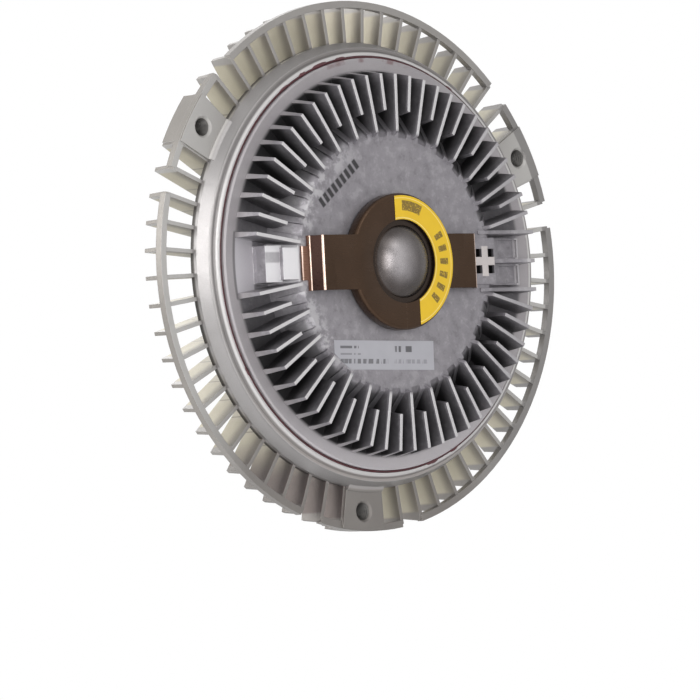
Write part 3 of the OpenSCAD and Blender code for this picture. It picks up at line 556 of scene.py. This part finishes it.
def cast_cover():
    """Blasted die-casting: rubbed fin tops with painted light that fades to the right, painted shade in the fin
    gaps, a plain middle, and painted highlights and painted shade at the seats at the strip's ends.
    """
    material, tree, shader = start_finish("cast_cover")
    place = place_on(tree)
    radius, height = from_axis(tree, place), forward(tree, place)
    along, across = turned_places(tree, place, COVER_TURN)
    side = size_of(tree, across)
    facing = above(tree, forward(tree, facing_of(tree)), 0.725, 0.125)
    blast = grain(tree, place, 2600, 3)
    cloud = grain(tree, place, 55, 3)
    left, right = cover_channels(tree, along, side)
    pad_glare, floor, gutter = left_seat(tree, left, facing, radius, height, along, across, side)
    cross_glare, pocket_shade, tray_end_glare = right_seat(tree, right, facing, height, along, side, cloud)
    finned = band(tree, radius, FIN_START, FIN_END, 0.0010)
    # Rubbed fin tops: bare metal, with painted light that is full on the left and fades towards the right
    tops = product(tree, finned, above(tree, height, FIN_TOP, 0.0003), facing,
                   grade(tree, along, 0.02, 0.07, 1.0, 0.35))
    # Painted shade in the fin gaps: darker deeper down, weaker on faces turned outward and near the strip's line
    gap_shade = product(tree, finned, rest_of(tree, either(tree, left, right)), below(tree, height, FIN_TOP, 0.0003),
                   grade(tree, height, FIN_TOP - 0.0003, GAP_FLOOR, 0.35, 1.0),
                   grade(tree, faces_outward(tree, place), 0.55, 0.9, 1.0, 0.3),
                   grade(tree, side, 0.010, 0.036, 0.5, 1.0))
    smear = product(tree, band(tree, radius, 0.0778, 0.0800, 0.0004),
                    grade(tree, grain(tree, place, 140, 3), 0.52, 0.66),
                    grade(tree, grain(tree, place, 22, 1), 0.48, 0.60), grade(tree, across, 0.045, 0.060))
    ink = product(tree, ink_strokes(tree, place), facing, above(tree, height, MIDDLE_FACE, 0.0002))
    colour = layered(
        tree, cover_skin(tree, place, radius, along, across, cloud),
        (tops, FIN_RUBBED_AND_LIT),
        (pad_glare, PAD_HIGHLIGHT),
        (floor, clouded(tree, cloud, CHANNEL_LIT_GREY)),
        (product(tree, gutter, 0.55), GUTTER_SHADE),
        (cross_glare, CROSS_HIGHLIGHT),
        (product(tree, tray_end_glare, 0.6), TRAY_END_HIGHLIGHT),
        (product(tree, smear, 0.55), SMEAR_RED),
        (either(tree, either(tree, gap_shade, pocket_shade), product(tree, ink, 0.9)), SHADE_AND_INK_BLACK))
    link_to(tree, shader, Base_Color=colour, Metallic=0.5, Roughness=roughened(tree, blast, 0.40, 0.58))
    rounded_bump(tree, shader, blast, 0.25, 0.0002, 0.0003)
    return material


# Finish of the housing
def ring_coat(tree, parts, radius, outward, cloud):
    """Fronts and outsides of the fan ring: darker and browner below as painted shade, paler at both sides as
    painted light, and painted shade on the hoop at the right and on the outsides at the left.
    """
    # Painted shade on the hoop at the right
    right_hoop_shade = product(tree, above(tree, radius, HOOP_START, 0.0004),
                         grade(tree, parts["X"], 0.055, 0.080, 0.0, 0.85))
    # Painted shade on the outer faces at the left
    left_outside_shade = product(tree, above(tree, radius, OUTSIDE_START, 0.00075), above(tree, outward, 0.65, 0.15),
                           grade(tree, parts["X"], -0.055, -0.080))
    return layered(
        tree, clouded(tree, cloud, RING_GREY),
        # Painted shade towards the bottom, and painted light towards the right and the left
        (grade(tree, parts["Z"], -0.055, -0.095), clouded(tree, cloud, RING_LOWER_SHADE)),
        (grade(tree, parts["X"], 0.05, 0.10, 0.0, 0.6), RING_RIGHT_LIGHT),
        (grade(tree, parts["X"], -0.055, -0.095, 0.0, 0.5), RING_LEFT_LIGHT),
        (right_hoop_shade, HOOP_SHADE),
        (left_outside_shade, clouded(tree, cloud, RING_OUTSIDE_SHADE)))


def blade_coat(tree, parts, height, cloud):
    """Sides of the blades: khaki deep down, brown at the front edge, with painted shade above, below and at the
    lower left.
    """
    # Painted shade on the blades at the lower left
    lower_left_shade = product(tree, grade(tree, parts["Z"], -0.066, -0.085, 0.0, 0.9),
                       below(tree, parts["X"], -0.003, 0.005))
    return layered(
        tree, clouded(tree, cloud, BLADE_KHAKI),
        (grade(tree, height, 0.0395, 0.0450, 0.0, 0.85), BLADE_BROWN),
        # Painted shade on the blades above and below
        (grade(tree, size_of(tree, parts["Z"]), 0.055, 0.095, 0.0, 0.32), BLADE_UPPER_LOWER_SHADE),
        (lower_left_shade, BLADE_LOWER_LEFT_SHADE))


def cast_housing():
    """Die-casting with a rolled rim, whose bright lip is bare metal with a painted highlight and whose crease and
    foot carry painted shade, painted light and shade on the body by height, a grey-brown fan ring and khaki blade
    sides.
    """
    material, tree, shader = start_finish("cast_housing")
    place = place_on(tree)
    parts = put(tree, "SeparateXYZ", {"Vector": place}).outputs
    radius, height = from_axis(tree, place), forward(tree, place)
    outward = faces_outward(tree, place)
    blast = grain(tree, place, 2200, 3)
    cloud = grain(tree, place, 60, 3)
    # Painted light towards the bottom of the body and painted shade towards its top
    body = layered(
        tree, clouded(tree, cloud, BODY_GREY),
        (grade(tree, parts["Z"], -0.035, -0.078, 0.0, 0.7), BODY_LOWER_LIGHT),
        (grade(tree, parts["Z"], 0.045, 0.080, 0.0, 0.6), BODY_UPPER_SHADE))
    blade_side = product(tree, grade(tree, radius, 0.064, 0.088), below(tree, radius, HOOP_INSIDE, 0.0006),
                         below(tree, forward(tree, facing_of(tree)), 0.575, 0.175),
                         below(tree, height, RING_FRONT + 0.0002, 0.0002),
                         below(tree, size_of(tree, outward), 0.7, 0.1))
    upright = above(tree, outward, 0.55, 0.15)
    # Painted shade at the rim's foot, behind the ring's front
    foot = product(tree, band(tree, radius, *RIM_FOOT, 0.0004), band(tree, height, *RIM_FOOT_HEIGHTS, 0.0006),
                   upright)
    # The lip: paler bare metal with a painted highlight
    lip = product(tree, above(tree, height, LIP_FOOT, 0.0004), below(tree, radius, LIP_EDGE, 0.0002))
    # Painted shade in the crease beside the lip
    crease = band(tree, radius, LIP_EDGE, CREASE_END, 0.0002)
    wall = product(tree, band(tree, radius, *RIM_WALL, 0.0003), upright,
                   above(tree, height, RING_FRONT + 0.0001, 0.0003))
    colour = layered(
        tree, body,
        (above(tree, radius, BODY_RADIUS, 0.0005), ring_coat(tree, parts, radius, outward, cloud)),
        (blade_side, blade_coat(tree, parts, height, cloud)),
        (product(tree, foot, 0.9), RIM_FOOT_SHADE),
        (lip, LIP_METAL_AND_HIGHLIGHT),
        (product(tree, crease, 0.5), CREASE_SHADE),
        (wall, WALL_GREY))
    link_to(tree, shader, Base_Color=colour, Metallic=grade(tree, wall, 0.0, 1.0, 0.5, 0.85),
            Roughness=roughened(tree, blast, 0.34, 0.50))
    rounded_bump(tree, shader, blast, 0.2, 0.0002, 0.0003)
    return material


# Finishes of the strip, the cap and the labels
def brown_bimetal():
    """Heat-tinted strip, satin, with bright copper lines as painted highlights where its ends are folded, and a
    painted dark reflection on the slopes of the folds.
    """
    material, tree, shader = start_finish("brown_bimetal")
    place = place_on(tree)
    front = forward(tree, facing_of(tree))
    along, _ = turned_places(tree, place, COVER_TURN)
    cloud = grain(tree, place, 120, 3)
    brushed = grain(tree, place, 900, 3, 0.6, (0.15, 1.0, 1.6))
    ends = above(tree, size_of(tree, along), STRIP_FOLD, 0.0002)
    # Painted dark reflection on the slopes of the folded ends
    slope = product(tree, ends, below(tree, front, 0.675, 0.075))
    # Painted copper highlights along the folds
    fold = product(tree, ends, band(tree, front, 0.60, 0.93, 0.02),
                   above(tree, forward(tree, place), 0.06385, 0.00065))
    colour = layered(
        tree, clouded(tree, cloud, STRIP_BROWN),
        (slope, STRIP_SLOPE_DARK_REFLECTION),
        (below(tree, along, LEFT_TAB, 0.0002), clouded(tree, cloud, STRIP_TAB)),
        (fold, FOLD_COPPER_HIGHLIGHT))
    link_to(tree, shader, Base_Color=colour, Metallic=0.75, Roughness=roughened(tree, brushed, 0.26, 0.40))
    rounded_bump(tree, shader, brushed, 0.10, 0.0001, 0.0002)
    return material


def dome_steel():
    """Pressed cap, satin with a painted highlight on top, with painted shade towards its edge, its right and its
    lower side, and on its flange.
    """
    material, tree, shader = start_finish("dome_steel")
    place = place_on(tree)
    radius = from_axis(tree, place)
    along, across = turned_places(tree, place, COVER_TURN)
    cloud = grain(tree, place, 260, 3)
    fine = grain(tree, place, 1500, 3)
    cap_shade = clouded(tree, cloud, CAP_DARK_SHADE)
    # A satin base carrying a painted highlight, painted shade towards the edge, the right and the lower side, and
    # painted shade on the flange
    colour = layered(
        tree, clouded(tree, cloud, CAP_SATIN_HIGHLIGHT),
        (grade(tree, radius, 0.0050, 0.0128), cap_shade),
        (grade(tree, along, -0.008, 0.005, 0.0, 0.9), cap_shade),
        (grade(tree, across, -0.003, -0.011, 0.0, 0.7), cap_shade),
        (above(tree, radius, CAP_FLANGE, 0.00035), CAP_FLANGE_SHADE))
    link_to(tree, shader, Base_Color=colour, Metallic=0.8, Roughness=roughened(tree, fine, 0.26, 0.33))
    rounded_bump(tree, shader, fine, 0.025, 0.0001, 0.0002)
    return material


def yellow_film():
    """Yellow film with pale border lines, a row of plain dark bars and a small dark panel."""
    material, tree, shader = start_finish("yellow_film")
    place = place_on(tree)
    radius = from_axis(tree, place)
    along, across = turned_places(tree, place, COVER_TURN)
    angle = sums(tree, "ARCTAN2", across, along)
    cloud = grain(tree, place, 200, 3)
    fine = grain(tree, place, 1800, 3)
    borders = either(tree, band(tree, radius, *LABEL_LINE_IN), band(tree, radius, *LABEL_LINE_OUT))
    beat = sums(tree, "FRACT", sums(tree, "MULTIPLY_ADD", angle, 4.1, 8.5))
    worn = grade(tree, fine, 0.30, 0.45)
    bars = product(tree, band(tree, angle, *BAR_ANGLES, 0.01), band(tree, beat, 0.24, 0.70, 0.03),
                   band(tree, radius, *BARS), worn)
    panel = product(tree, band(tree, angle, *PANEL_ANGLES, 0.01), band(tree, radius, *PANEL), worn)
    colour = layered(
        tree, clouded(tree, cloud, FILM_YELLOW),
        (product(tree, borders, 0.8), FILM_BORDER),
        (product(tree, either(tree, bars, panel), 0.85), FILM_BAR))
    link_to(tree, shader, Base_Color=colour, Roughness=roughened(tree, fine, 0.30, 0.42))
    rounded_bump(tree, shader, fine, 0.06, 0.0001, 0.0001)
    return material


def silver_film():
    """Silver film with rows of plain grey dashes."""
    material, tree, shader = start_finish("silver_film")
    place = place_on(tree)
    along, across = turned_places(tree, place, PLAIN_LABEL_TURN, PLAIN_LABEL_CORNER)
    cloud = grain(tree, place, 180, 3)
    fine = grain(tree, place, 1800, 3)
    dashes = grade(tree, grain(tree, place, 620, 2, 0.5, (1.0, 1.0, 0.08)), 0.42, 0.52)
    colour = clouded(tree, cloud, FILM_SILVER)
    for start, end, low, high, share in DASH_ROWS:
        row = product(tree, band(tree, along, start, end), band(tree, across, low, high), dashes)
        colour = blend_colour(tree, product(tree, row, share), colour, FILM_DASH)
    link_to(tree, shader, Base_Color=colour, Metallic=0.25, Roughness=roughened(tree, fine, 0.28, 0.40))
    rounded_bump(tree, shader, fine, 0.06, 0.0001, 0.0001)
    return material


# Finishes of the other pieces
def plain_metal(name, dark, bright, rough_low, rough_high, scale=900, metallic=0.9, turned=False):
    """Pressed metal with a fine cloudy grain, or turned metal with fine rings round the axis."""
    material, tree, shader = start_finish(name)
    place = place_on(tree)
    marks = place
    if turned:
        rings = {"X": from_axis(tree, place), "Y": forward(tree, place)}
        marks = put(tree, "CombineXYZ", rings).outputs["Vector"]
    fine = grain(tree, marks, scale, 3)
    link_to(tree, shader, Base_Color=blend_colour(tree, grain(tree, place, 150, 3), dark, bright),
            Metallic=metallic, Roughness=roughened(tree, fine, rough_low, rough_high))
    rounded_bump(tree, shader, fine, 0.12, 0.0001, 0.0002)
    return material


def plain_stuff(name, dark, bright, rough_low, rough_high):
    """Rubber, plastic or sealant with a fine cloudy grain."""
    return plain_metal(name, dark, bright, rough_low, rough_high, scale=700, metallic=0.0)


bright_steel = plain_metal("bright_steel", (0.42, 0.42, 0.43), (0.60, 0.60, 0.61), 0.22, 0.38)
plate_steel = plain_metal("plate_steel", (0.38, 0.38, 0.39), (0.52, 0.52, 0.52), 0.28, 0.42)
black_rubber = plain_stuff("black_rubber", (0.016, 0.016, 0.017), (0.035, 0.034, 0.033), 0.5, 0.7)
brass = plain_metal("turned_brass", (0.42, 0.28, 0.09), (0.58, 0.40, 0.15), 0.22, 0.36)
ground_steel = plain_metal("ground_steel", (0.55, 0.55, 0.56), (0.68, 0.68, 0.69), 0.12, 0.24)
# Dark finish of the bore threads: painted shade inside the bores
shaded_thread = plain_metal("shaded_thread", (0.09, 0.086, 0.082), (0.15, 0.145, 0.138), 0.30, 0.45)
red_sealant = plain_stuff("red_sealant", (0.045, 0.011, 0.015), (0.105, 0.024, 0.030), 0.3, 0.5)
shaft_steel = plain_metal("shaft_steel", (0.30, 0.30, 0.31), (0.42, 0.42, 0.43), 0.25, 0.42,
                          scale=1600, turned=True)
rotor_aluminium = plain_metal("rotor_aluminium", (0.50, 0.50, 0.51), (0.62, 0.62, 0.63), 0.25, 0.40)
spring_steel = plain_metal("spring_steel", (0.05, 0.05, 0.056), (0.10, 0.10, 0.11), 0.30, 0.45)
wiper_plastic = plain_stuff("wiper_plastic", (0.02, 0.02, 0.022), (0.04, 0.04, 0.042), 0.45, 0.6)
strip_finish = brown_bimetal()

node_finish = {
    "front_cover": cast_cover(),
    "rear_housing": cast_housing(),
    "rim_sealant": red_sealant,
    "bimetal_strip": strip_finish,
    "domed_cap": dome_steel(),
    "round_label": yellow_film(),
    "plain_label": silver_film(),
    "input_shaft": shaft_steel,
    "rotor": rotor_aluminium,
    "bearing_clip": spring_steel,
    "wiper_block": wiper_plastic,
    "control_pin": bright_steel,
    "partition_rivets": bright_steel,
    "valve_hinge_pin": bright_steel,
    "rotor_nut": bright_steel,
    "partition_plate": plate_steel,
    "valve_lever": plate_steel,
    "pin_seal": black_rubber,
    "bearing_front_seal": black_rubber,
    "bearing_rear_seal": black_rubber,
    "guide_bush": brass,
    "bearing_cage": brass,
    "bearing_inner_race": ground_steel,
    "bearing_outer_race": ground_steel,
    "bearing_balls": ground_steel,
}
for node_name, finish in node_finish.items():
    dress(node_of[node_name], finish)


# Pieces
def alone(piece):
    """Makes a piece the only selected object."""
    bpy.ops.object.select_all(action="DESELECT")
    piece.select_set(True)
    bpy.context.view_layer.objects.active = piece


def apply_modifier(piece, kind, **settings):
    made = piece.modifiers.new(kind.lower(), kind)
    for key, value in settings.items():
        setattr(made, key, value)
    bpy.ops.object.modifier_apply(modifier=made.name)


def strip_arm(name, side):
    """Half of the strip, cut off at the middle, with its edges broken and cut lines laid across it."""
    arm = bpy.data.objects.new(name, node_of["bimetal_strip"].data.copy())
    bpy.context.scene.collection.objects.link(arm)
    alone(arm)
    bpy.ops.object.mode_set(mode="EDIT")
    bpy.ops.mesh.select_all(action="SELECT")
    bpy.ops.mesh.remove_doubles(threshold=MERGE)
    bpy.ops.object.mode_set(mode="OBJECT")
    apply_modifier(arm, "BEVEL", width=STRIP_EDGE, segments=2, limit_method="ANGLE", angle_limit=SHARP_ANGLE)
    bpy.ops.object.mode_set(mode="EDIT")
    bpy.ops.mesh.select_all(action="SELECT")
    bpy.ops.mesh.bisect(plane_co=(0, 0, 0), plane_no=ALONG * side, use_fill=True, clear_inner=True)
    for cut in range(BOW_CUTS + 1):
        reach = BOW_TO + (BOW_FROM - BOW_TO) * cut / BOW_CUTS
        bpy.ops.mesh.select_all(action="SELECT")
        bpy.ops.mesh.bisect(plane_co=ALONG * side * reach, plane_no=ALONG * side)
    bpy.ops.object.mode_set(mode="OBJECT")
    bpy.ops.object.shade_smooth_by_angle(angle=SMOOTH_ANGLE)
    dress(arm, strip_finish)
    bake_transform(arm)
    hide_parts("bimetal_strip")


strip_arm("strip_left_arm", -1)
strip_arm("strip_right_arm", 1)


def thread_in(name, bore, centre, front, back, pitch, body):
    """Ring-shaped thread ridges on the wall of a bore."""
    length = front - back
    ridges = round(length / pitch)
    bpy.ops.object.select_all(action="DESELECT")
    bpy.ops.mesh.primitive_cylinder_add(
        vertices=THREAD_SIDES, radius=bore, depth=length, end_fill_type="NOTHING",
        location=(centre[0], -(front + back) / 2, centre[1]), rotation=(math.pi / 2, 0, 0))
    thread = bpy.context.object
    thread.name = name
    bpy.ops.object.transform_apply(location=True, rotation=True, scale=True)
    mesh = thread.data
    bpy.context.tool_settings.mesh_select_mode = (False, True, False)
    for mesh_part in (*mesh.polygons, *mesh.vertices):
        mesh_part.select = False
    for line in mesh.edges:
        first, second = (mesh.vertices[corner].co for corner in line.vertices)
        line.select = abs(first.y - second.y) > length / 2
    bpy.ops.object.mode_set(mode="EDIT")
    bpy.ops.mesh.subdivide(number_cuts=2 * ridges - 1)
    bpy.ops.object.mode_set(mode="OBJECT")
    bpy.context.tool_settings.mesh_select_mode = (True, False, False)
    for mesh_part in (*mesh.polygons, *mesh.edges):
        mesh_part.select = False
    for corner in mesh.vertices:
        corner.select = round((-corner.co.y - back) / length * 2 * ridges) % 2 == 1
    bpy.ops.object.mode_set(mode="EDIT")
    narrow = 1 - RIDGE_DEPTH * pitch / bore
    bpy.ops.transform.resize(value=(narrow, 1, narrow), center_override=(centre[0], 0, centre[1]))
    bpy.ops.mesh.select_all(action="SELECT")
    bpy.ops.mesh.normals_make_consistent(inside=True)
    bpy.ops.object.mode_set(mode="OBJECT")
    apply_modifier(thread, "SOLIDIFY", thickness=RIDGE_WALL, offset=-1.0)
    bpy.ops.object.shade_smooth_by_angle(angle=SMOOTH_ANGLE)
    dress(thread, shaded_thread)
    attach(thread, body)


for number, lug_angle in enumerate(LUG_ANGLES, 1):
    lug_turn = math.radians(lug_angle)
    lug_centre = (LUG_CIRCLE * math.cos(lug_turn), LUG_CIRCLE * math.sin(lug_turn))
    thread_in("lug_thread_%d" % number, LUG_BORE, lug_centre, front=0.0458, back=0.0362, pitch=0.0012,
              body="housing")
thread_in("centre_thread", CENTRE_BORE, (0, 0), front=0.0280, back=0.0056, pitch=0.0014,
          body="input_shaft")


def sealant_lumps(name, lumps):
    """Squeezed-out lumps of sealant along the joint of cover and rim."""
    seal_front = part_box("rim_sealant")[0][1]
    parts = []
    for angle, long, wide in lumps:
        turn = math.radians(angle)
        bpy.ops.object.select_all(action="DESELECT")
        bpy.ops.mesh.primitive_uv_sphere_add(
            segments=16, ring_count=10, radius=1.0, scale=(wide, LUMP_RISE, long),
            location=(SEAL_RADIUS * math.cos(turn), seal_front + LUMP_LIFT, SEAL_RADIUS * math.sin(turn)),
            rotation=(0, -turn, 0))
        lump = bpy.context.object
        bpy.ops.object.transform_apply(location=True, rotation=True, scale=True)
        bpy.ops.object.mode_set(mode="EDIT")
        bpy.ops.mesh.select_all(action="SELECT")
        bpy.ops.transform.vertex_random(offset=LUMP_UNEVENNESS, seed=angle)
        bpy.ops.object.mode_set(mode="OBJECT")
        parts.append(lump)
    bpy.ops.object.select_all(action="DESELECT")
    for lump in parts:
        lump.select_set(True)
    bpy.context.view_layer.objects.active = parts[0]
    bpy.ops.object.join()
    bead = parts[0]
    bead.name = name
    bpy.ops.object.shade_smooth()
    dress(bead, red_sealant)
    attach(bead, "housing")


sealant_lumps("sealant_lumps", LUMPS)
